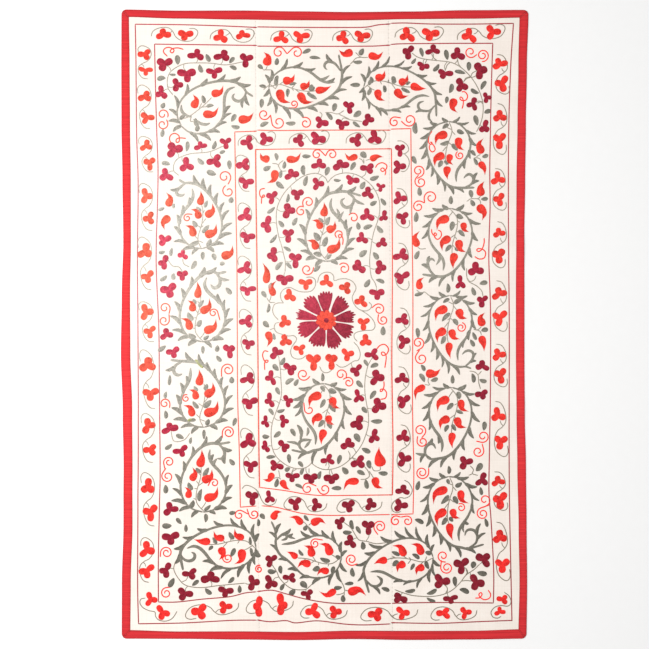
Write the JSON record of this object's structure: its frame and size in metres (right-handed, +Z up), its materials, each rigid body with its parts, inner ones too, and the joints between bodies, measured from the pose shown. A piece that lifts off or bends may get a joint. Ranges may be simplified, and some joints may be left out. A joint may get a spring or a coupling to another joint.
{
  "type": "suzani embroidered textile",
  "caption": "Large rectangular embroidered cotton cloth of sewn loom-width panels with a mitred binding, lying flat; a bed cover, wall cloth or table cloth.",
  "frame": {"origin": "under the middle of the cloth's box, at the height of the surface that it lies on", "axes": "+Y along the cloth towards its head edge, +X across it, +Z up out of the face with the needlework"},
  "size_m": [1.4219, 2.1998, 0.0045],
  "materials": {
    "ground_cotton": "undyed cream plain-weave cotton with silk chain-stitch needlework",
    "binding_cotton": "red plain-weave cotton strip, folded double",
    "orange_red_silk": "twisted silk thread in chain stitch, soft sheen",
    "crimson_silk": "twisted silk thread in chain stitch, soft sheen",
    "grey_green_silk": "twisted silk thread in chain stitch, soft sheen",
    "coral_silk": "twisted silk thread in a single line of chain stitch",
    "rose_silk": "twisted silk thread in a single line of chain stitch"
  },
  "bodies": {
    "root": {"ground_panel_left": "ground_cotton", "ground_panel_middle": "ground_cotton", "ground_panel_right": "ground_cotton", "binding_left": "binding_cotton", "binding_right": "binding_cotton", "binding_foot": "binding_cotton", "binding_head": "binding_cotton"}
  },
  "joints": []
}
